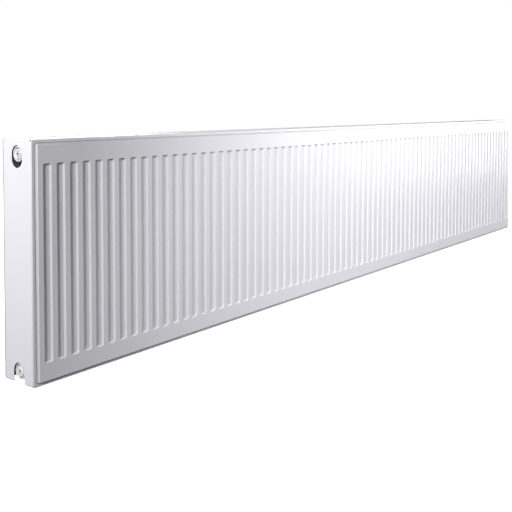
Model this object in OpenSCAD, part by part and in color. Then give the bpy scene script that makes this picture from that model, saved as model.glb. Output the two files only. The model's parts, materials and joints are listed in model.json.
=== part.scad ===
// Steel panel radiator: two water panels back to back with a convector on each,
// a lift-off top grille and pull-off end covers. Millimetres, +X along the length,
// +Y towards the wall, +Z up, origin under the middle of the outer box.

/* [Overall] */
// Length over the panels, a whole number of groove pitches
length = 2600; // [1000:100:3000]
// Height of the panels
height = 500; // [400:50:900]
// Depth over the two panels, without the hanging lugs
depth = 110; // [98:1:112]

/* [Panels] */
// Grooves in every 100 mm of length
grooves_per_100 = 3; // [2:1:3]
// Sheet thickness of the panels
sheet_t = 1.25; // [1:0.05:1.5]
// How far the pan stands out from its flange
pan_rise = 5; // [4:0.5:6]
// Width of the seam flange at the top edge
flange_top = 11; // [10:0.5:13]
// Width of the seam flange at the sides
flange_side = 11; // [10:0.5:13]
// Width of the seam flange at the bottom edge
flange_bottom = 9; // [8:0.5:10]
// Width of a groove
groove_w = 18; // [14:1:20]
// Groove top, measured down from the top edge
groove_from_top = 50; // [49:1:60]
// Groove bottom, measured up from the bottom edge
groove_from_bottom = 47; // [46:1:60]

/* [Ports] */
// Height of the upper port below the top edge
port_from_top = 30; // [29:1:31]
// Height of the lower port above the bottom edge
port_from_bottom = 24; // [24:1:26]
// Distance of the tees' centres from the panel ends
tee_from_end = 35; // [33:1:38]

/* [Convectors] */
// Depth of one convector
fin_depth = 33; // [25:1:34]
// Sheet thickness of the convectors
fin_t = 0.5; // [0.4:0.1:0.8]
// Gap between the convector ends and the panel edges
fin_from_edge = 55; // [52:1:80]

/* [Hanging lugs] */
// How far the lugs stand out behind the rear panel
lug_out = 10; // [9:1:12]
// Lug plate thickness
lug_t = 3; // [2:0.5:3]
// Distance of the outer lugs from the panel ends, in groove pitches
lug_pitches = 6; // [3:1:8]

/* [Covers and grille] */
// Thickness of the cover and grille sheet
cover_t = 1; // [0.8:0.1:1.2]
// Width of the upper slot in an end cover
slot_w = 35; // [34:1:38]
// Height of the upper slot in an end cover
slot_h = 46; // [40:1:60]
// Width of the lower notch in an end cover
notch_w = 36; // [35:1:40]

/* [Hidden] */

white = [0.93, 0.93, 0.95];
plug_white = [0.96, 0.96, 0.97];
steel = [0.62, 0.63, 0.65];
seal_black = [0.08, 0.08, 0.09];

half_l = length / 2;
pitch = 100 / grooves_per_100;
// The lugs reach behind the rear panel, so the panels' mid plane lies ahead of the origin
mid_y = -lug_out / 2;
// Seam plane of each water panel, from the mid plane
seam_y = depth / 2 - sheet_t - pan_rise;
// Face of a panel that looks at the other panel
back_y = seam_y - sheet_t - pan_rise;
// Inner face of the seam flange
flange_y = seam_y - sheet_t;
port_z_top = height - port_from_top;
port_z_bottom = port_from_bottom;
groove_count = round(length / pitch) - 1;
corner_r = 4;
corner_steps = 2;

// Covers and grille
running_gap = 0.3;
cover_half_y = flange_y - running_gap;
cover_lift = 0.5;
cover_return = flange_side - 1.5;
cover_flap = 12;
notch_chamfer = 3;
grille_gap = 0.5;
grille_slot_w = 8.5;
grille_rib = 7;
grille_edge = 6;
clip_t = 0.8;

// Minor radius of the half-inch pipe thread in the ports
port_r = 9.3;

// Tees: the Y tube, its bore, and the boss with the port, which starts at boss_x
tee_r = 14;
tee_bore_r = 11;
boss_r = 13.4;
boss_x = 9.5;
ring_window = 4;

// Plugs, measured inward from the cover's outer face
disc_x = 2.5;
disc_r = 16.2;
disc_t = 5;
ring_r = 12.5;
ring_w = 1.6;
ring_rise = 0.8;
shank_r = port_r - 0.05;
shank_l = 12.5;
seal_r = 0.98;

// Vent plug: its socket, the turning spout ring with its outlet, and the bleed screw
socket_r = 8.6;
socket_x = 5.2;
spout_hole_r = 5.4;
outlet_r = 0.6;
outlet_drop = 6.9;
screw_r = 2.95;
head_r = 5.1;
head_rise = 0.6;
play = 0.05;

// Hanging lugs: width, foot height, tongue length and places
lug_w = 40;
lug_foot = 20;
lug_tongue = 32;
lug_x = half_l - lug_pitches * pitch;
lug_z_top = height - 75;
lug_z_bottom = 90;

// Spring clips: heights in the covers and places along the grille
clip_z_top = height * 0.74;
clip_z_bottom = height * 0.26;
grille_clip_x = [-0.36, -0.12, 0.12, 0.36] * length;

function arc(cx, cz, r, a0, n) =
    [for (i = [0:n]) [cx + r * cos(a0 + 90 * i / n), cz + r * sin(a0 + 90 * i / n)]];

// Rounded rectangle as a loop of points
function rounded(x0, z0, x1, z1, r, n) = concat(
    arc(x1 - r, z1 - r, r, 0, n),
    arc(x0 + r, z1 - r, r, 90, n),
    arc(x0 + r, z0 + r, r, 180, n),
    arc(x1 - r, z0 + r, r, 270, n)
);

// Outline of the pan, grown by d
function pan_loop(d) = rounded(
    -half_l + flange_side - d, flange_bottom - d,
    half_l - flange_side + d, height - flange_top + d,
    corner_r + d, corner_steps
);

// Outline of groove number i, grown by d
function groove_loop(i, d) = rounded(
    -half_l + pitch * i - groove_w / 2 - d, groove_from_bottom - d,
    -half_l + pitch * i + groove_w / 2 + d, height - groove_from_top + d,
    corner_r + d, corner_steps
);

groove_ids = [1:groove_count];
port_holes = [
    for (x = [-half_l + tee_from_end, half_l - tee_from_end], z = [port_z_top, port_z_bottom]) [x, z]
];

// One face made of loops of points: a loop inside another is a hole in it
module loops(list) {
    sizes = [for (l = list) len(l)];
    starts = [for (i = 0, s = 0; i < len(list); s = s + sizes[i], i = i + 1) s];
    polygon(
        points = [for (l = list, p = l) p],
        paths = [for (i = [0:len(list) - 1]) [for (k = [0:sizes[i] - 1]) starts[i] + k]]
    );
}

// A plate standing in the XZ plane, from y = a to y = b
module slab(a, b) {
    translate([0, b, 0]) rotate([90, 0, 0]) linear_extrude(b - a) children();
}

module box(lo, hi) {
    translate(lo) cube(hi - lo);
}

// A cylinder along +X that starts at x
module rod_x(x, r, l) {
    translate([x, 0, 0]) rotate([0, 90, 0]) cylinder(r = r, h = l, $fn = 64);
}

// Pressed sheet with its seam plane at y = 0 and its pan rising towards -Y
module pressed_sheet(ported) {
    face = -sheet_t - pan_rise;
    difference() {
        union() {
            slab(face, -pan_rise) loops(concat([pan_loop(0)], [for (i = groove_ids) groove_loop(i, 0)]));
            slab(-pan_rise, -sheet_t) {
                loops([pan_loop(0), pan_loop(-sheet_t)]);
                for (i = groove_ids) loops([groove_loop(i, sheet_t), groove_loop(i, 0)]);
            }
            slab(-sheet_t, 0) {
                loops([rounded(-half_l, 0, half_l, height, corner_r, corner_steps), pan_loop(-sheet_t)]);
                for (i = groove_ids) loops([groove_loop(i, sheet_t)]);
            }
        }
        if (ported)
            for (p = port_holes)
                translate([p[0], face - 1, p[1]]) rotate([-90, 0, 0]) cylinder(r = port_r, h = 4, $fn = 48);
    }
}

module front_outer_sheet() {
    color(white) translate([0, mid_y - seam_y, 0]) pressed_sheet(false);
}

module front_inner_sheet() {
    color(white) translate([0, mid_y - seam_y, 0]) mirror([0, 1, 0]) pressed_sheet(true);
}

module rear_inner_sheet() {
    color(white) translate([0, mid_y + seam_y, 0]) pressed_sheet(true);
}

module rear_outer_sheet() {
    color(white) translate([0, mid_y + seam_y, 0]) mirror([0, 1, 0]) pressed_sheet(false);
}

// Folded convector with its welded flats on y = 0 and its crests at y = fin_depth
module convector() {
    flat = 4;
    crest = 9;
    step = fin_t * 1.1;
    ridges = [1:groove_count - 2];
    last = -half_l + pitch * (groove_count - 0.5);
    near = concat(
        [for (i = ridges, k = [0:3]) let (x = -half_l + pitch * (i + 0.5)) [
            [x - flat - step, 0], [x + flat + step, 0],
            [x + crest + step, fin_depth - fin_t], [x + pitch - crest - step, fin_depth - fin_t]
        ][k]],
        [[last - flat - step, 0], [last + flat, 0]]
    );
    far = concat(
        [for (i = ridges, k = [0:3]) let (x = -half_l + pitch * (i + 0.5)) [
            [x - flat, fin_t], [x + flat, fin_t],
            [x + crest, fin_depth], [x + pitch - crest, fin_depth]
        ][k]],
        [[last - flat, fin_t], [last + flat, fin_t]]
    );
    translate([0, 0, fin_from_edge])
        linear_extrude(height - 2 * fin_from_edge)
            polygon(concat(near, [for (i = [len(far) - 1:-1:0]) far[i]]));
}

module front_convector() {
    color(white) translate([0, mid_y - back_y, 0]) convector();
}

module rear_convector() {
    color(white) translate([0, mid_y + back_y, 0]) mirror([0, 1, 0]) convector();
}

// Places children at a port: +X points inward from the cover's outer face
module at_port(side, z) {
    translate([side * half_l, mid_y, z]) mirror([side > 0 ? 1 : 0, 0, 0]) children();
}

// Tee that joins both panels and carries the threaded port
module tee(side, z) {
    color(white) at_port(side, z) difference() {
        union() {
            translate([tee_from_end, back_y, 0]) rotate([90, 0, 0]) cylinder(r = tee_r, h = 2 * back_y, $fn = 64);
            rod_x(boss_x, boss_r, tee_from_end - boss_x);
        }
        translate([tee_from_end, back_y + 1, 0])
            rotate([90, 0, 0]) cylinder(r = tee_bore_r, h = 2 * back_y + 2, $fn = 64);
        rod_x(boss_x - 1, port_r, tee_from_end - boss_x + 1);
    }
}

// Slotted ring that keeps a panel's two sheets apart at a port
module spacer_ring(panel, side, z) {
    color(steel) translate([side * (half_l - tee_from_end), mid_y + panel * seam_y, z])
        rotate([90, 0, 0]) difference() {
            cylinder(r = tee_r - 1, h = 2 * pan_rise, center = true, $fn = 48);
            cylinder(r = port_r, h = 2 * pan_rise + 2, center = true, $fn = 48);
            cube([3 * tee_r, ring_window, ring_window], center = true);
            cube([ring_window, 3 * tee_r, ring_window], center = true);
        }
}

// Hanging lug: foot on the panel, step out, tongue hanging down behind a wall bracket's hook
module lug(x, z) {
    color(white) translate([x - lug_w / 2, mid_y + depth / 2, z])
        rotate([90, 0, 90]) linear_extrude(lug_w) polygon([
            [0, 0], [lug_out - lug_t, 0], [lug_out - lug_t, -lug_tongue], [lug_out, -lug_tongue],
            [lug_out, lug_t], [lug_t, lug_t], [lug_t, lug_foot], [0, lug_foot]
        ]);
}

// Cross-shaped screwdriver recess, cut from the face at x
module cross_recess(x, span, arm, deep, turn) {
    rotate([turn, 0, 0]) {
        box([x - 1, -span / 2, -arm / 2], [x + deep, span / 2, arm / 2]);
        box([x - 1, -arm / 2, -span / 2], [x + deep, arm / 2, span / 2]);
    }
}

// Flange and shank that both plugs share
module plug_blank() {
    rod_x(disc_x, disc_r, disc_t);
    rod_x(disc_x + disc_t, shank_r, shank_l);
    difference() {
        rod_x(disc_x - ring_rise, ring_r, ring_rise + 1);
        rod_x(disc_x - ring_rise - 1, ring_r - ring_w, ring_rise + 1);
    }
}

module vent_plug() {
    color(plug_white) at_port(-1, port_z_top) difference() {
        plug_blank();
        rod_x(disc_x - 2, socket_r, socket_x - disc_x + 2);
        rod_x(socket_x - 1, screw_r + play, disc_x + disc_t + shank_l - socket_x + 2);
    }
}

// O-ring between a plug's flange and the end of its port
module plug_seal(z) {
    color(seal_black) at_port(-1, z)
        translate([(disc_x + disc_t + boss_x) / 2, 0, 0]) rotate([0, 90, 0])
            rotate_extrude($fn = 64) translate([port_r + 2, 0]) circle(r = seal_r, $fn = 24);
}

// Ring with the air outlet: it turns in the vent plug's socket
module vent_spout() {
    color(plug_white) at_port(-1, port_z_top) difference() {
        union() {
            rod_x(disc_x - 0.1, socket_r - play, socket_x - disc_x);
            box(
                [disc_x - 1.1, -2 * outlet_r, -outlet_drop - 1.1],
                [disc_x + 0.9, 2 * outlet_r, -outlet_drop + 1.1]
            );
        }
        rod_x(disc_x - 3, spout_hole_r, socket_x + 3);
        translate([disc_x - 2, 0, -outlet_drop]) rotate([0, 90, 0]) cylinder(r = outlet_r, h = 5, $fn = 24);
    }
}

module bleed_screw() {
    color(steel) at_port(-1, port_z_top) difference() {
        union() {
            rod_x(disc_x - head_rise, head_r, socket_x - disc_x + head_rise - 0.2);
            rod_x(disc_x, screw_r, disc_t + shank_l - 1);
        }
        cross_recess(disc_x - head_rise, 8.4, 2, 1.8, 0);
    }
}

module blank_plug() {
    color(plug_white) at_port(-1, port_z_bottom) difference() {
        union() {
            plug_blank();
            rod_x(disc_x - ring_rise, 7, ring_rise + 1);
        }
        cross_recess(disc_x - ring_rise, 9.6, 2.6, 4, 45);
    }
}

// Grille: a shallow tray with two rows of slots, resting between the flanges
module top_grille() {
    half_x = half_l - cover_flap - grille_gap;
    half_y = cover_half_y;
    top = height - cover_lift;
    slots = 2 * floor((half_x - 12) / (pitch / 2)) + 1;
    slot_loops = [
        for (i = [0:slots - 1], s = [-1, 1])
            let (
                x = (i - (slots - 1) / 2) * pitch / 2,
                y0 = s > 0 ? grille_rib : -half_y + grille_edge,
                y1 = s > 0 ? half_y - grille_edge : -grille_rib
            )
            [
                [x - grille_slot_w / 2, y0], [x + grille_slot_w / 2, y0],
                [x + grille_slot_w / 2, y1], [x - grille_slot_w / 2, y1]
            ]
    ];
    outline = [[-half_x, -half_y], [half_x, -half_y], [half_x, half_y], [-half_x, half_y]];
    inner = [for (p = outline) [p[0] - sign(p[0]) * cover_t, p[1] - sign(p[1]) * cover_t]];
    skirt = flange_top - 2;
    color(white) translate([0, mid_y, 0]) {
        translate([0, 0, top - cover_t]) linear_extrude(cover_t) loops(concat([outline], slot_loops));
        translate([0, 0, top - skirt]) linear_extrude(skirt - cover_t) loops([outline, inner]);
    }
}

// Spring clip under the grille: its legs go down between the two convectors
module grille_clip(x) {
    half_y = back_y - fin_depth - running_gap;
    top = height - cover_lift - cover_t;
    leg = 60;
    color(steel) translate([x, mid_y, 0]) difference() {
        box([-6, -half_y, top - leg], [6, half_y, top]);
        box([-7, -half_y + clip_t, top - leg - 1], [7, half_y - clip_t, top - clip_t]);
    }
}

// End cover: a tall tray that slides in between the panels' flanges
module end_cover(side) {
    top = height - cover_lift;
    color(white) at_port(side, 0) difference() {
        union() {
            box([0, -cover_half_y, cover_lift], [cover_return, cover_half_y, top]);
            box([0, -cover_half_y, top - cover_t], [cover_flap, cover_half_y, top]);
        }
        box(
            [cover_t, -cover_half_y + cover_t, cover_lift - 1],
            [cover_flap + 1, cover_half_y - cover_t, top - cover_t]
        );
        translate([0, 0, port_z_top]) rod_x(-1, slot_w / 2, cover_t + 2);
        translate([0, 0, port_z_top - slot_h + slot_w]) rod_x(-1, slot_w / 2, cover_t + 2);
        box([-1, -slot_w / 2, port_z_top - slot_h + slot_w], [cover_t + 1, slot_w / 2, port_z_top]);
        translate([0, 0, port_z_bottom]) rod_x(-1, notch_w / 2, cover_t + 2);
        translate([-1, 0, 0]) rotate([90, 0, 90]) linear_extrude(cover_t + 2) polygon([
            [-notch_w / 2, port_z_bottom], [notch_w / 2, port_z_bottom],
            [notch_w / 2, cover_lift + notch_chamfer], [notch_w / 2 + notch_chamfer, cover_lift],
            [notch_w / 2 + notch_chamfer, -1], [-notch_w / 2 - notch_chamfer, -1],
            [-notch_w / 2 - notch_chamfer, cover_lift], [-notch_w / 2, cover_lift + notch_chamfer]
        ]);
    }
}

// Spring clip inside an end cover: its tongues press against the two panels
module cover_clip(side, z) {
    half_y = back_y - running_gap;
    tongue = 24;
    width = 30;
    color(steel) at_port(side, z) difference() {
        box([cover_t, -half_y, -width / 2], [tongue, half_y, width / 2]);
        box([cover_t + clip_t, -half_y + clip_t, -width], [tongue + 1, half_y - clip_t, width]);
    }
}

front_outer_sheet();
front_inner_sheet();
rear_inner_sheet();
rear_outer_sheet();
front_convector();
rear_convector();
tee(-1, port_z_top);  // tee_top_left
tee(-1, port_z_bottom);  // tee_bottom_left
tee(1, port_z_top);  // tee_top_right
tee(1, port_z_bottom);  // tee_bottom_right
spacer_ring(-1, -1, port_z_top);  // ring_front_top_left
spacer_ring(-1, -1, port_z_bottom);  // ring_front_bottom_left
spacer_ring(-1, 1, port_z_top);  // ring_front_top_right
spacer_ring(-1, 1, port_z_bottom);  // ring_front_bottom_right
spacer_ring(1, -1, port_z_top);  // ring_rear_top_left
spacer_ring(1, -1, port_z_bottom);  // ring_rear_bottom_left
spacer_ring(1, 1, port_z_top);  // ring_rear_top_right
spacer_ring(1, 1, port_z_bottom);  // ring_rear_bottom_right
lug(-lug_x, lug_z_top);  // lug_top_left
lug(0, lug_z_top);  // lug_top_middle
lug(lug_x, lug_z_top);  // lug_top_right
lug(-lug_x, lug_z_bottom);  // lug_bottom_left
lug(0, lug_z_bottom);  // lug_bottom_middle
lug(lug_x, lug_z_bottom);  // lug_bottom_right
vent_plug();
plug_seal(port_z_top);  // vent_plug_seal
vent_spout();
bleed_screw();
blank_plug();
plug_seal(port_z_bottom);  // blank_plug_seal
top_grille();
grille_clip(grille_clip_x[0]);  // grille_clip_1
grille_clip(grille_clip_x[1]);  // grille_clip_2
grille_clip(grille_clip_x[2]);  // grille_clip_3
grille_clip(grille_clip_x[3]);  // grille_clip_4
end_cover(-1);  // left_cover
cover_clip(-1, clip_z_top);  // left_clip_top
cover_clip(-1, clip_z_bottom);  // left_clip_bottom
end_cover(1);  // right_cover
cover_clip(1, clip_z_top);  // right_clip_top
cover_clip(1, clip_z_bottom);  // right_clip_bottom
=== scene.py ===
"""Looks of a double-panel steel radiator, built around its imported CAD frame.

Lengths are in metres in the row's frame: +X along the radiator, +Y towards the wall, +Z up.
Pieces are placed from the boxes of CAD nodes, and from the named sizes that follow them.
"""

import json
import math

import bmesh
import bpy
from mathutils import Matrix, Vector
from mathutils.geometry import tessellate_polygon


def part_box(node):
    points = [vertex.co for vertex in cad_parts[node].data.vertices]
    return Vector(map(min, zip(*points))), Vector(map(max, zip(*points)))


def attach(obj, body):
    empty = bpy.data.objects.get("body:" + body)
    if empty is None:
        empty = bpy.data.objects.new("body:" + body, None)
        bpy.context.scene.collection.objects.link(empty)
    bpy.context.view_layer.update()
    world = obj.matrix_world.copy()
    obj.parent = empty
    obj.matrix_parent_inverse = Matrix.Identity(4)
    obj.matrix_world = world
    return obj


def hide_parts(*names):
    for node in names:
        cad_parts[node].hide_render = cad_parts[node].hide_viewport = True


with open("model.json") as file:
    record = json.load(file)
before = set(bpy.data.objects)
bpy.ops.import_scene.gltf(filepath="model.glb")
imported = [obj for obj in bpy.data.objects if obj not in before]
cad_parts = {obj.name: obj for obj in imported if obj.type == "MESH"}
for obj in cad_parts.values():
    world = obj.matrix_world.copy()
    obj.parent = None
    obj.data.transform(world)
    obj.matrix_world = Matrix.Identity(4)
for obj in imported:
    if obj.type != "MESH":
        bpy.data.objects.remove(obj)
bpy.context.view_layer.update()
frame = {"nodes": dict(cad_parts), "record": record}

MM = 0.001

# ---------------------------------------------------------------- sizes from the frame
front_low, front_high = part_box("front_outer_sheet")
rear_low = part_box("rear_outer_sheet")[0]
HALF_L = front_high[0]
HEIGHT = front_high[2]
SHEET_T = 1.25 * MM
PAN_RISE = front_high[1] - front_low[1] - SHEET_T
FRONT_SEAM = front_high[1]
REAR_SEAM = rear_low[1]
MID_Y = (FRONT_SEAM + REAR_SEAM) / 2
PAN_TOP = SHEET_T + PAN_RISE

PITCH = 100 * MM / 3
GROOVES = round(2 * HALF_L / PITCH) - 1
PORT_TOP = HEIGHT - 30 * MM
PORT_BOTTOM = 24 * MM
PORT_R = 9.3 * MM
TEE_X = HALF_L - 35 * MM

# The seam flange round the pan: its widths and outer corner, then the pan's corner and wall width
RIM_TOP = 11 * MM
RIM_SIDE = 11 * MM
RIM_BOTTOM = 9 * MM
RIM_CORNER = 4 * MM
PAN_CORNER = 2.5 * MM
WALL = 2.4 * MM

# Crease at the foot of the pan's wall: (distance out from the wall, depth) in mm
CREASE = ((0.1, 0.8), (0.4, 1.1), (1.6, 1.1), (2.3, 1.0), (2.6, 0.4), (2.9, 0.0))

# Grooves, measured where they meet the pan's face
GROOVE_HALF = 10.6 * MM
GROOVE_TOP = HEIGHT - 48.2 * MM
GROOVE_BOTTOM = 45.2 * MM
GROOVE_CORNER = 5.4 * MM
GROOVE_WALL = 3.1 * MM


# ---------------------------------------------------------------- mesh helpers
class Shell:
    """Collects the points and faces of one piece, given in local (u, v, w) and mapped by place."""

    def __init__(self, place=None):
        self.place = place or (lambda u, v, w: (u, v, w))
        self.points = []
        self.faces = []
        self.smooth = []

    def loop(self, outline, w):
        """Adds the points of an outline at level w, and returns their numbers."""
        start = len(self.points)
        self.points += [self.place(u, v, w) for u, v in outline]
        return list(range(start, len(self.points)))

    def row(self, points):
        """Adds points given as (u, v, w), and returns their numbers."""
        start = len(self.points)
        self.points += [self.place(*p) for p in points]
        return list(range(start, len(self.points)))

    def strip(self, a, b, closed=True, smooth=True):
        """Quads between two rows of as many points."""
        n = len(a)
        for i in range(n if closed else n - 1):
            j = (i + 1) % n
            self.faces.append((a[i], a[j], b[j], b[i]))
            self.smooth.append(smooth)

    def strips(self, rows, closed=True, smooth=True):
        for a, b in zip(rows, rows[1:]):
            self.strip(a, b, closed, smooth)

    def cap(self, outer, holes=(), smooth=False):
        """Fills a flat region with holes in it."""
        rings = [outer, *holes]
        numbers = [n for ring in rings for n in ring]
        triangles = tessellate_polygon([[Vector(self.points[n]) for n in ring] for ring in rings])
        for t in triangles:
            self.faces.append(tuple(numbers[i] for i in t))
            self.smooth.append(smooth)

    def polygon(self, ring):
        self.faces.append(tuple(ring))
        self.smooth.append(False)

    def build(self, name, facing=None):
        """Makes the object. An open sheet is turned so that most of its area looks along facing."""
        mesh = bpy.data.meshes.new(name)
        mesh.from_pydata(self.points, [], self.faces)
        mesh.polygons.foreach_set("use_smooth", self.smooth)
        work = bmesh.new()
        work.from_mesh(mesh)
        bmesh.ops.recalc_face_normals(work, faces=work.faces)
        if facing:
            lean = sum((f.normal * f.calc_area() for f in work.faces), Vector()).dot(Vector(facing))
            if lean < 0:
                bmesh.ops.reverse_faces(work, faces=work.faces)
        work.to_mesh(mesh)
        work.free()
        mesh.update()
        piece = bpy.data.objects.new(name, mesh)
        bpy.context.scene.collection.objects.link(piece)
        return piece


def arc(cx, cy, r, start, turn, steps):
    """Points of an arc, start and turn in degrees."""
    angles = [math.radians(start + turn * i / steps) for i in range(steps + 1)]
    return [(cx + r * math.cos(a), cy + r * math.sin(a)) for a in angles]


def circle(r, steps, cx=0.0, cy=0.0):
    return arc(cx, cy, r, 0, 360, steps)[:-1]


def rounded(x0, z0, x1, z1, r, steps=6):
    """Outline of a rectangle with round corners."""
    return (
        arc(x1 - r, z1 - r, r, 0, 90, steps)
        + arc(x0 + r, z1 - r, r, 90, 90, steps)
        + arc(x0 + r, z0 + r, r, 180, 90, steps)
        + arc(x1 - r, z0 + r, r, 270, 90, steps)
    )


def grown(box, d, r, steps=6):
    """Outline of a round-cornered box (x0, z0, x1, z1), grown outward by d."""
    x0, z0, x1, z1 = box
    return rounded(x0 - d, z0 - d, x1 + d, z1 + d, r + d, steps)


def fillet(path, r, steps=4):
    """Rounds the inner corners of an open path of 2-D points."""
    out = [path[0]]
    for p, q, s in zip(path, path[1:], path[2:]):
        p, q, s = Vector(p), Vector(q), Vector(s)
        into, away = (q - p).normalized(), (s - q).normalized()
        half = into.angle(away) / 2
        reach = min(r * math.tan(half), (q - p).length * 0.48, (s - q).length * 0.48)
        a, b = q - into * reach, q + away * reach
        for i in range(steps + 1):
            f = i / steps
            out.append(tuple((a * (1 - f) + q * f) * (1 - f) + (q * (1 - f) + b * f) * f))
    out.append(path[-1])
    return out


def bent_strip(name, path, thick, low, high, place):
    """A strip of sheet metal bent along a path of (u, v) points and wide from w = low to w = high."""
    sides = ([], [])
    for i, p in enumerate(path):
        before = Vector(path[max(i - 1, 0)])
        after = Vector(path[min(i + 1, len(path) - 1)])
        along = (after - before).normalized()
        normal = Vector((-along.y, along.x))
        for side, sign in zip(sides, (-0.5, 0.5)):
            side.append(tuple(Vector(p) + normal * (thick * sign)))
    shell = Shell(place)
    rows = [shell.loop(sides[k], w) for k, w in ((0, low), (1, low), (1, high), (0, high))]
    for a, b, smooth in zip(rows, rows[1:] + rows[:1], (False, True, False, True)):
        shell.strip(a, b, closed=False, smooth=smooth)
    for end in (0, -1):
        shell.polygon([row[end] for row in rows])
    return shell.build(name)


def lathe(shell, profile, steps=64):
    """A closed profile of (axial, radius) points turned round the local w axis."""
    rows = [shell.loop(circle(r, steps), w) for w, r in profile]
    shell.strips(rows + rows[:1])


def soften(piece, width, angle=35, segments=2):
    """A small bevel on the sharp edges."""
    bevel = piece.modifiers.new("edge", "BEVEL")
    bevel.width = width
    bevel.segments = segments
    bevel.limit_method = "ANGLE"
    bevel.angle_limit = math.radians(angle)
    bevel.harden_normals = False


# ---------------------------------------------------------------- materials
def new_material(name, colour, roughness, metallic=0.0):
    """A Principled material: returns it with its node tree and shader."""
    material = bpy.data.materials.new(name)
    material.use_nodes = True
    tree = material.node_tree
    shader = tree.nodes["Principled BSDF"]
    shader.inputs["Base Color"].default_value = (*colour, 1)
    shader.inputs["Roughness"].default_value = roughness
    shader.inputs["Metallic"].default_value = metallic
    return material, tree, shader


def noise(tree, scale, detail=2.0, rough=0.5):
    """Object-space noise, scale in waves per metre."""
    place = tree.nodes.new("ShaderNodeTexCoord")
    node = tree.nodes.new("ShaderNodeTexNoise")
    node.inputs["Scale"].default_value = scale
    node.inputs["Detail"].default_value = detail
    node.inputs["Roughness"].default_value = rough
    tree.links.new(place.outputs["Object"], node.inputs["Vector"])
    return node


def spread(tree, source, low, high):
    """Maps a 0 to 1 value to low to high."""
    node = tree.nodes.new("ShaderNodeMapRange")
    node.inputs["To Min"].default_value = low
    node.inputs["To Max"].default_value = high
    tree.links.new(source, node.inputs["Value"])
    return node.outputs["Result"]


def vary_colour(tree, shader, source, dark, light):
    mix = tree.nodes.new("ShaderNodeMix")
    mix.data_type = "RGBA"
    mix.inputs[6].default_value = (*dark, 1)
    mix.inputs[7].default_value = (*light, 1)
    tree.links.new(source, mix.inputs[0])
    tree.links.new(mix.outputs[2], shader.inputs["Base Color"])


def bump(tree, shader, source, strength, distance):
    node = tree.nodes.new("ShaderNodeBump")
    node.inputs["Strength"].default_value = strength
    node.inputs["Distance"].default_value = distance
    tree.links.new(source, node.inputs["Height"])
    tree.links.new(node.outputs["Normal"], shader.inputs["Normal"])


def paint_crevice_shade(tree, shader, reach, dark, low=0.35, high=0.75):
    """Painted shade: darkens the colour where the surface is closed in, as in a screw's recess."""
    closed = tree.nodes.new("ShaderNodeAmbientOcclusion")
    closed.inputs["Distance"].default_value = reach
    mix = tree.nodes.new("ShaderNodeMix")
    mix.data_type = "RGBA"
    level = tree.nodes.new("ShaderNodeMapRange")
    level.inputs["From Min"].default_value = low
    level.inputs["From Max"].default_value = high
    tree.links.new(closed.outputs["AO"], level.inputs["Value"])
    tree.links.new(level.outputs["Result"], mix.inputs[0])
    mix.inputs[6].default_value = (*dark, 1)
    tree.links.new(shader.inputs["Base Color"].links[0].from_socket, mix.inputs[7])
    tree.links.new(mix.outputs[2], shader.inputs["Base Color"])


def powder_coat(name, colour, roughness, peel=0.12):
    """White powder coat: faint tone drift, painted shade in creases, uneven gloss and fine orange peel."""
    material, tree, shader = new_material(name, colour, roughness)
    drift = noise(tree, 6, 3)
    dark = tuple(c * 0.985 for c in colour)
    light = tuple(min(c * 1.01, 1) for c in colour)
    vary_colour(tree, shader, drift.outputs["Fac"], dark, light)
    # Painted shade: the coat darkens to a quarter of its colour in creases and recesses, such as the crease
    # at the pan's foot.
    paint_crevice_shade(tree, shader, 0.005, tuple(c * 0.25 for c in colour), 0.3, 0.95)
    gloss = noise(tree, 45, 4)
    level = spread(tree, gloss.outputs["Fac"], roughness - 0.05, roughness + 0.05)
    tree.links.new(level, shader.inputs["Roughness"])
    fine = noise(tree, 650, 2)
    bump(tree, shader, fine.outputs["Fac"], peel, 0.0002)
    shader.inputs["IOR"].default_value = 1.5
    return material


def moulded_plastic(name, colour):
    material, tree, shader = new_material(name, colour, 0.32)
    cloud = noise(tree, 120, 2)
    vary_colour(tree, shader, cloud.outputs["Fac"], tuple(c * 0.97 for c in colour), colour)
    level = spread(tree, cloud.outputs["Fac"], 0.26, 0.4)
    tree.links.new(level, shader.inputs["Roughness"])
    # Painted shade: the plastic turns near black in its recesses, such as the plugs' cross recesses.
    paint_crevice_shade(tree, shader, 0.003, (0.04, 0.04, 0.045), 0.45, 0.85)
    grain = noise(tree, 2500, 2)
    bump(tree, shader, grain.outputs["Fac"], 0.08, 0.0001)
    return material


def rolled_steel(name, colour, roughness, grain=(1.0, 1.0, 12.0)):
    """Bare or plated metal with a fine directional grain and painted shade in its crevices."""
    material, tree, shader = new_material(name, colour, roughness, 1.0)
    place = tree.nodes.new("ShaderNodeTexCoord")
    stretch = tree.nodes.new("ShaderNodeMapping")
    stretch.inputs["Scale"].default_value = grain
    streaks = tree.nodes.new("ShaderNodeTexNoise")
    streaks.inputs["Scale"].default_value = 220
    streaks.inputs["Detail"].default_value = 3
    tree.links.new(place.outputs["Object"], stretch.inputs["Vector"])
    tree.links.new(stretch.outputs["Vector"], streaks.inputs["Vector"])
    vary_colour(tree, shader, streaks.outputs["Fac"], tuple(c * 0.86 for c in colour), colour)
    # Painted shade: the metal turns near black in its crevices.
    paint_crevice_shade(tree, shader, 0.002, (0.04, 0.04, 0.045))
    level = spread(tree, streaks.outputs["Fac"], roughness - 0.08, roughness + 0.1)
    tree.links.new(level, shader.inputs["Roughness"])
    bump(tree, shader, streaks.outputs["Fac"], 0.1, 0.0001)
    return material


def lacquered_metal(name, colour):
    """A small white-lacquered steel part, with painted shade in its recesses."""
    material, tree, shader = new_material(name, colour, 0.35)
    cloud = noise(tree, 300, 3)
    vary_colour(tree, shader, cloud.outputs["Fac"], tuple(c * 0.96 for c in colour), colour)
    # Painted shade: the lacquer turns near black in its recesses, such as the bleed screw's cross.
    paint_crevice_shade(tree, shader, 0.003, (0.03, 0.03, 0.035), 0.45, 0.85)
    level = spread(tree, cloud.outputs["Fac"], 0.28, 0.42)
    tree.links.new(level, shader.inputs["Roughness"])
    return material


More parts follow.
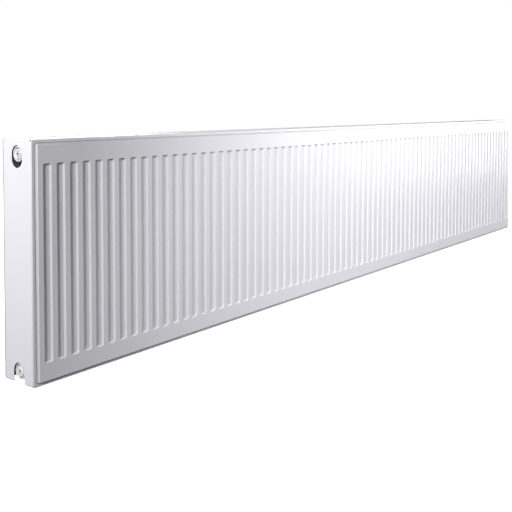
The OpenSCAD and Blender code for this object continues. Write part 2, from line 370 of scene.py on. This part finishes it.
def seal_rubber(name):
    material, tree, shader = new_material(name, (0.02, 0.02, 0.022), 0.7)
    cloud = noise(tree, 900, 3)
    vary_colour(tree, shader, cloud.outputs["Fac"], (0.015, 0.015, 0.017), (0.035, 0.035, 0.038))
    bump(tree, shader, cloud.outputs["Fac"], 0.25, 0.0001)
    return material


WHITE = (0.80, 0.793, 0.845)
materials = {
    "panel_paint": powder_coat("panel_paint", WHITE, 0.3),
    "fin_paint": powder_coat("fin_paint", (0.70, 0.70, 0.73), 0.5, 0.2),
    "cover_paint": powder_coat("cover_paint", WHITE, 0.38),
    "plug_plastic": moulded_plastic("plug_plastic", (0.86, 0.86, 0.87)),
    "screw_metal": lacquered_metal("screw_metal", (0.84, 0.84, 0.86)),
    "spring_steel": rolled_steel("spring_steel", (0.55, 0.56, 0.58), 0.35),
    "seal_rubber": seal_rubber("seal_rubber"),
}


def finish_piece(piece, slot, body, *nodes):
    """Gives a new piece its material, body and the CAD nodes it stands for."""
    piece.data.materials.append(materials[slot])
    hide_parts(*nodes)
    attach(piece, body)
    return piece


# ---------------------------------------------------------------- pressed sheets
def wall_profile(width, low, high, steps=9):
    """(outward distance, level) points down a pressed wall, from the pan to its foot."""
    out = []
    for i in range(steps + 1):
        f = i / steps
        out.append((width * f, high - (high - low) * (0.5 - 0.5 * math.cos(math.pi * f))))
    return out


def pressed_sheet(name, seam, side, inset, ported):
    """One sheet of a water panel. side is the way in Y that its pan rises from the seam plane."""
    shell = Shell(lambda u, v, w: (u, seam + side * w, v))
    t = SHEET_T
    pan = (
        -HALF_L + RIM_SIDE + inset,
        RIM_BOTTOM + inset,
        HALF_L - RIM_SIDE - inset,
        HEIGHT - RIM_TOP - inset,
    )
    sheet = (-HALF_L, 0.0, HALF_L, HEIGHT)
    wall = WALL - inset * 0.4
    grooves = [
        (x - GROOVE_HALF, GROOVE_BOTTOM, x + GROOVE_HALF, GROOVE_TOP)
        for x in (-HALF_L + PITCH * i for i in range(1, GROOVES + 1))
    ]
    ports = [(s * TEE_X, z) for s in (-1, 1) for z in (PORT_TOP, PORT_BOTTOM)] if ported else []

    # the rim's edge, from the seam plane round to the outer side
    edge = [(0.2, 0.0), (0.05, 0.15), (0.0, 0.4), (0.0, 0.85), (0.12, 1.13), (0.4, 1.25)]
    rim = [shell.loop(grown(sheet, -d * MM, RIM_CORNER), w * MM) for d, w in edge]
    shell.strips(rim)

    # outer side
    crease = [(wall + d * MM, t - w * MM) for d, w in CREASE]
    profile = wall_profile(wall, t, PAN_TOP)[:-1] + crease
    pan_wall = [shell.loop(grown(pan, d, PAN_CORNER), w) for d, w in profile]
    shell.strips(pan_wall)
    shell.cap(rim[-1], [pan_wall[-1]])
    holes = []
    for box in grooves:
        rows = [
            shell.loop(grown(box, -d, GROOVE_CORNER), w)
            for d, w in wall_profile(GROOVE_WALL, t, PAN_TOP)
        ]
        shell.strips(rows)
        shell.polygon(rows[-1])
        holes.append(rows[0])
    port_outer = [shell.loop(circle(PORT_R, 32, x, z), PAN_TOP) for x, z in ports]
    shell.cap(pan_wall[0], holes + port_outer)

    # water side, one sheet thickness behind
    back_pan = [
        shell.loop(grown(pan, d, PAN_CORNER, 3), w)
        for d, w in ((-0.4 * MM, PAN_RISE), (wall - MM, 0))
    ]
    shell.strips(back_pan)
    shell.cap(rim[0], [back_pan[1]])
    holes = []
    for box in grooves:
        rows = [
            shell.loop(grown(box, d, GROOVE_CORNER, 3), w)
            for d, w in ((0.4 * MM, PAN_RISE), (0.6 * MM - GROOVE_WALL, 0))
        ]
        shell.strips(rows)
        shell.polygon(rows[-1])
        holes.append(rows[0])
    port_inner = [shell.loop(circle(PORT_R, 32, x, z), PAN_RISE) for x, z in ports]
    shell.cap(back_pan[0], holes + port_inner)
    for a, b in zip(port_outer, port_inner):
        shell.strip(a, b)
    return finish_piece(shell.build(name), "panel_paint", "radiator", name.replace("pressed_", ""))


HIDDEN_INSET = 3 * MM
pressed_sheet("pressed_front_outer_sheet", FRONT_SEAM, -1, 0.0, False)
pressed_sheet("pressed_front_inner_sheet", FRONT_SEAM, 1, HIDDEN_INSET, True)
pressed_sheet("pressed_rear_inner_sheet", REAR_SEAM, -1, HIDDEN_INSET, True)
pressed_sheet("pressed_rear_outer_sheet", REAR_SEAM, 1, 0.0, False)


# ---------------------------------------------------------------- convectors
def convector(node, side):
    """Folded fin sheet: side is the way in Y that its crests stand from the panel."""
    low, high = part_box(node)
    thick = 0.5 * MM
    depth = high[1] - low[1]
    flat, crest = 4 * MM, 9 * MM
    path = []
    for i in range(1, GROOVES - 1):
        x = -HALF_L + PITCH * (i + 0.5)
        path += [(x - flat, 0), (x + flat, 0)]
        path += [(x + crest, depth - thick), (x + PITCH - crest, depth - thick)]
    last = -HALF_L + PITCH * (GROOVES - 0.5)
    path += [(last - flat, 0), (last + flat, 0)]
    foot = low[1] + thick / 2 if side > 0 else high[1] - thick / 2
    piece = bent_strip(
        "folded_" + node, fillet(path, 1.6 * MM, 3), thick, low[2], high[2],
        lambda u, v, w: (u, foot + side * v, w),
    )
    return finish_piece(piece, "fin_paint", "radiator", node)


convector("front_convector", 1)
convector("rear_convector", -1)


# ---------------------------------------------------------------- hanging lugs
def lug(node):
    """Bent plate with a welded foot and a tongue hanging down behind it."""
    low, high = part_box(node)
    thick = 3 * MM
    foot_y, tongue_y = low[1] + thick / 2, high[1] - thick / 2
    step_z = high[2] - 20 * MM + thick / 2
    path = [(foot_y, high[2]), (foot_y, step_z), (tongue_y, step_z), (tongue_y, low[2])]
    piece = bent_strip(
        "bent_" + node, fillet(path, 3 * MM, 5), thick, low[0], high[0],
        lambda u, v, w: (w, u, v),
    )
    soften(piece, 0.4 * MM, 50)
    return finish_piece(piece, "panel_paint", "radiator", node)


for level in ("top", "bottom"):
    for place in ("left", "middle", "right"):
        lug(f"lug_{level}_{place}")


# ---------------------------------------------------------------- grille
def top_grille():
    """Shallow tray with two rows of slots whose edges are rolled down."""
    low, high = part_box("top_grille")
    shell = Shell()
    bend = 1.2 * MM
    half_x = high[0]
    y0, y1 = low[1], high[1]
    top, foot = high[2], low[2]
    count = 2 * math.floor((half_x - 12 * MM) / (PITCH / 2)) + 1
    slot_half = 4.25 * MM
    mid = (y0 + y1) / 2
    rows = ((y0 + 6 * MM, mid - 7 * MM), (mid + 7 * MM, y1 - 6 * MM))
    roll = 1.0 * MM
    lip = ((roll, 0), (roll * 0.62, 0.08 * MM), (roll * 0.29, 0.3 * MM), (0, roll), (0, 2.4 * MM))
    corners = [(half_x, y1), (-half_x, y1), (-half_x, y0), (half_x, y0)]

    def ring(inset, z):
        return shell.row([
            (x - math.copysign(inset, x), y + (inset if y == y0 else -inset), z) for x, y in corners
        ])

    rings = []
    for i in range(5):
        a = math.radians(90 * i / 4)
        rings.append(ring(bend * (1 - math.sin(a)), top - bend * (1 - math.cos(a))))
    rings.append(ring(0, foot))
    shell.strips(rings)
    holes = []
    for i in range(count):
        x = (i - (count - 1) / 2) * PITCH / 2
        for a, b in rows:
            box = (x - slot_half, a, x + slot_half, b)
            edge = []
            for d, drop in lip:
                edge.append(shell.loop(grown(box, d, slot_half * 0.98, 5), top - drop))
            shell.strips(edge)
            holes.append(edge[0])
    shell.cap(rings[0], holes)
    piece = shell.build("stamped_top_grille", (0, 0, 1))
    wall = piece.modifiers.new("sheet", "SOLIDIFY")
    wall.thickness = 0.9 * MM
    wall.offset = -1
    return finish_piece(piece, "cover_paint", "grille", "top_grille")


top_grille()


# ---------------------------------------------------------------- end covers
def end_cover(node, side):
    """Folded tray with a slot at the upper port and a notch at the lower one."""
    low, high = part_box(node)
    outer_x = high[0] if side > 0 else low[0]
    shell = Shell(lambda u, v, w: (outer_x - side * w, u, v))
    bend = 1.6 * MM
    relief = 1.5 * MM
    y0, y1, z0, z1 = low[1], high[1], low[2], high[2]
    a0, a1, top = y0 + bend, y1 - bend, z1 - bend
    depth = 9.5 * MM
    flap = high[0] - low[0]
    slot_r, slot_drop = 17.5 * MM, 11 * MM
    notch_r, chamfer = 18 * MM, 3 * MM

    outline = [(a0, z0), (MID_Y - notch_r - chamfer, z0), (MID_Y - notch_r, z0 + chamfer)]
    outline += arc(MID_Y, PORT_BOTTOM, notch_r, 180, -180, 24)
    outline += [(MID_Y + notch_r, z0 + chamfer), (MID_Y + notch_r + chamfer, z0), (a1, z0)]
    outline += [(a1, z1 - bend - relief), (a1, top), (a1 - relief, top)]
    outline += [(a0 + relief, top), (a0, top), (a0, z1 - bend - relief)]
    face = shell.loop(outline, 0)
    slot = shell.loop(
        arc(MID_Y, PORT_TOP, slot_r, 0, 180, 24)
        + arc(MID_Y, PORT_TOP - slot_drop, slot_r, 180, 180, 24),
        0,
    )
    shell.cap(face, [slot])

    def fold(start, corners, direction):
        """Bends a flange back from the two outline points in start."""
        rows = [start]
        for i in range(1, 6):
            a = math.radians(90 * i / 5)
            out, back = bend * math.sin(a), bend * (1 - math.cos(a))
            rows.append(shell.row([
                (u + direction[0] * out, v + direction[1] * out, back) for u, v in corners
            ]))
        reach = flap if direction[1] else depth
        rows.append(shell.row(
            [(u + direction[0] * bend, v + direction[1] * bend, reach) for u, v in corners]
        ))
        shell.strips(rows, closed=False)

    n = len(outline)
    right_low, right_high = n - 7, n - 6
    fold([face[right_low], face[right_high]], [outline[right_low], outline[right_high]], (1, 0))
    top_right, top_left = n - 4, n - 3
    fold([face[top_right], face[top_left]], [outline[top_right], outline[top_left]], (0, 1))
    left_high, left_low = n - 1, 0
    fold([face[left_high], face[left_low]], [outline[left_high], outline[left_low]], (-1, 0))

    piece = shell.build("folded_" + node, (side, 0, 0))
    wall = piece.modifiers.new("sheet", "SOLIDIFY")
    wall.thickness = 1 * MM
    wall.offset = -1
    soften(piece, 0.15 * MM, 50)
    return finish_piece(piece, "cover_paint", node, node)


end_cover("left_cover", -1)
end_cover("right_cover", 1)


# ---------------------------------------------------------------- plugs in the left ports
def at_port(z):
    """Local w runs inward from the left cover's outer face, along the port's axis."""
    return lambda u, v, w: (-HALF_L + w, MID_Y + u, z + v)


def plug_profile(socket, hole):
    """(axial, radius) points of a plug's flange, raised ring and shank, down to its socket or hole."""
    return [
        (7.5, 16.2), (3.6, 16.2), (2.9, 15.9), (2.5, 15.2), (2.5, 13.7), (3.6, 13.5), (3.6, 12.8),
        (1.75, 12.6), (1.75, 11.8), (3.7, 11.6), (3.7, 10.9), (2.5, 10.7), (2.5, 9.6),
        *socket, *hole, (20.0, 8.2), (19.2, 9.25),
        (7.9, 9.25), (7.5, 9.5),
    ]


def cross(span, arm, turn):
    """Outline of a cross-shaped recess."""
    s, a = span / 2, arm / 2
    quarter = [(s, -a), (s, a), (a, a)]
    out = []
    for k in range(4):
        c, n = math.cos(math.radians(90 * k + turn)), math.sin(math.radians(90 * k + turn))
        out += [(x * c - y * n, x * n + y * c) for x, y in quarter]
    return out


def mm_loop(shell, outline, w):
    return shell.loop([(u * MM, v * MM) for u, v in outline], w * MM)


def crossed_face(shell, rim, w, span, arm, deep, turn):
    """Closes a round face with a cross recess in it. rim is the face's last ring of points."""
    mouth = mm_loop(shell, cross(span, arm, turn), w)
    lip = mm_loop(shell, cross(span * 0.97, arm * 0.92, turn), w + 0.2)
    floor = mm_loop(shell, cross(span * 0.85, arm * 0.8, turn), w + deep)
    shell.cap(rim, [mouth])
    shell.strips([mouth, lip, floor], smooth=False)
    shell.cap(floor)


def vent_plug():
    shell = Shell(at_port(PORT_TOP))
    socket = [(2.9, 8.8), (3.2, 8.6), (5.2, 8.6)]
    hole = [(5.2, 3.0), (20.0, 3.0)]
    lathe(shell, [(w * MM, r * MM) for w, r in plug_profile(socket, hole)], 96)
    return finish_piece(shell.build("vent_plug_body"), "plug_plastic", "radiator", "vent_plug")


def vent_spout():
    shell = Shell(at_port(PORT_TOP))
    ring = [
        (5.1, 8.5), (2.8, 8.5), (2.5, 8.2), (2.4, 7.8), (2.4, 6.2), (2.6, 5.6), (2.9, 5.4), (5.1, 5.4),
    ]
    lathe(shell, [(w * MM, r * MM) for w, r in ring], 64)
    nub = [(2.6, 1.15), (1.7, 1.1), (1.45, 0.85), (1.45, 0.55), (1.9, 0.45), (2.6, 0.45)]
    rows = []
    for w, r in nub:
        rows.append(mm_loop(shell, circle(r, 20, 0, -6.9), w))
    shell.strips(rows + rows[:1])
    return finish_piece(shell.build("vent_spout_ring"), "plug_plastic", "vent_spout", "vent_spout")


def bleed_screw():
    shell = Shell(at_port(PORT_TOP))
    profile = [
        (19.0, 2.2), (18.2, 2.95), (5.0, 2.95), (4.9, 4.9), (4.7, 5.1), (2.4, 5.1), (2.05, 4.95), (1.9, 4.6),
    ]
    rows = [mm_loop(shell, circle(r, 48), w) for w, r in profile]
    shell.strips(rows)
    shell.cap(rows[0])
    crossed_face(shell, rows[-1], 1.9, 8.8, 2.5, 2.7, 0)
    return finish_piece(shell.build("bleed_screw_head"), "screw_metal", "bleed_screw", "bleed_screw")


def blank_plug():
    shell = Shell(at_port(PORT_BOTTOM))
    socket = [(2.7, 7.6), (2.4, 7.1), (1.9, 6.9), (1.7, 6.6)]
    profile = plug_profile(socket, [])[:-4]
    outside = [(19.2, 9.25), (7.9, 9.25), (7.5, 9.5)]
    rows = [mm_loop(shell, circle(r, 96), w) for w, r in [(20.0, 8.2)] + outside + profile]
    shell.strips(rows)
    shell.cap(rows[0])
    crossed_face(shell, rows[-1], 1.7, 11.0, 3.0, 9.0, 45)
    return finish_piece(shell.build("blank_plug_body"), "plug_plastic", "radiator", "blank_plug")


vent_plug()
vent_spout()
bleed_screw()
blank_plug()

# ---------------------------------------------------------------- CAD nodes that stay as they are
slots = {row["node"]: row["material_slot"] for row in frame["record"]["subparts"]}
for name, node in frame["nodes"].items():
    node.data.materials.clear()
    node.data.materials.append(materials[slots[name]])


# ---------------------------------------------------------------- floor, light and camera
def floor():
    shell = Shell()
    size = 14.0
    corners = shell.row([(-size, -size, 0), (size, -size, 0), (size, size, 0), (-size, size, 0)])
    shell.polygon(corners)
    plane = shell.build("floor")
    material, tree, shader = new_material("floor", (0.9, 0.9, 0.91), 0.85)
    grain = noise(tree, 30, 3)
    vary_colour(tree, shader, grain.outputs["Fac"], (0.89, 0.89, 0.9), (0.91, 0.91, 0.92))
    shader.inputs["Emission Color"].default_value = (1, 1, 1, 1)
    shader.inputs["Emission Strength"].default_value = 1.0
    plane.data.materials.append(material)
    plane.visible_diffuse = False
    plane.visible_glossy = False


def softbox(name, where, aim, size, watts):
    light = bpy.data.lights.new(name, "AREA")
    light.shape = "RECTANGLE"
    light.size, light.size_y = size
    light.energy = watts
    lamp = bpy.data.objects.new(name, light)
    lamp.location = where
    lamp.rotation_euler = (Vector(aim) - Vector(where)).to_track_quat("-Z", "Y").to_euler()
    lamp.visible_camera = False
    bpy.context.scene.collection.objects.link(lamp)


def white_studio(strength, seen):
    """An even pale surround: seen is what the camera sees, strength is what lights the object."""
    world = bpy.data.worlds.new("studio")
    world.use_nodes = True
    tree = world.node_tree
    back = tree.nodes["Background"]
    back.inputs["Strength"].default_value = strength
    bright = tree.nodes.new("ShaderNodeBackground")
    bright.inputs["Strength"].default_value = seen
    path = tree.nodes.new("ShaderNodeLightPath")
    mix = tree.nodes.new("ShaderNodeMixShader")
    for source, target in (
        (path.outputs["Is Camera Ray"], mix.inputs[0]),
        (back.outputs[0], mix.inputs[1]),
        (bright.outputs[0], mix.inputs[2]),
        (mix.outputs[0], tree.nodes["World Output"].inputs["Surface"]),
    ):
        tree.links.new(source, target)
    for node in (back, bright):
        node.inputs["Color"].default_value = (1, 1, 1, 1)
    bpy.context.scene.world = world


# The camera, from a fit to the radiator's outline and near grooves in the photograph
FLANGE_Y = FRONT_SEAM - SHEET_T
CAMERA_PLACE = (-HALF_L - 0.915, FLANGE_Y - 1.296, 0.568)
CAMERA_YAW = math.radians(51.53)
CAMERA_PITCH = math.radians(2.08)
LENS_MM = 54.04
SENSOR_MM = 36
SHIFT_Y = -0.2395


def camera():
    """Stands off the left front corner, a little above the top edge, and looks along the face."""
    lens = bpy.data.cameras.new("camera")
    lens.sensor_width = SENSOR_MM
    lens.lens = LENS_MM
    lens.shift_y = SHIFT_Y
    seer = bpy.data.objects.new("camera", lens)
    seer.matrix_world = (
        Matrix.Translation(CAMERA_PLACE)
        @ Matrix.Rotation(-CAMERA_YAW, 4, "Z")
        @ Matrix.Rotation(math.pi / 2 - CAMERA_PITCH, 4, "X")
    )
    bpy.context.scene.collection.objects.link(seer)
    bpy.context.scene.camera = seer


floor()
white_studio(0.02, 1.0)
# Places, sizes and aims are given. The powers, in watts, come from a fit to the
# photograph's tones and were then adjusted.
softbox("near_left", (-3.2, -1.0, 1.2), (-0.9, -0.05, 0.25), (0.4, 0.8), 43)
softbox("cover_side", (-2.4, 0.6, 1.1), (-1.3, 0.0, 0.45), (0.6, 0.5), 14.6)
softbox("key", (-1.0, -1.6, 1.2), (1.2, -0.9, 0.3), (1.2, 1.2), 11)
softbox("key_right", (-0.7, -1.6, 1.2), (1.6, -1.3, 0.3), (1.2, 1.2), 52)
softbox("far_right", (3.2, -1.4, 0.8), (1.2, 0.0, 0.3), (1.4, 1.5), 54)
softbox("overhead", (0.0, 0.5, 2.6), (0.0, 0.0, 0.5), (3.2, 0.6), 2)
softbox("wall_side", (0.4, 2.8, 1.4), (0.0, 0.0, 0.25), (2.6, 1.4), 60)
camera()
bpy.context.scene.view_settings.view_transform = "Standard"
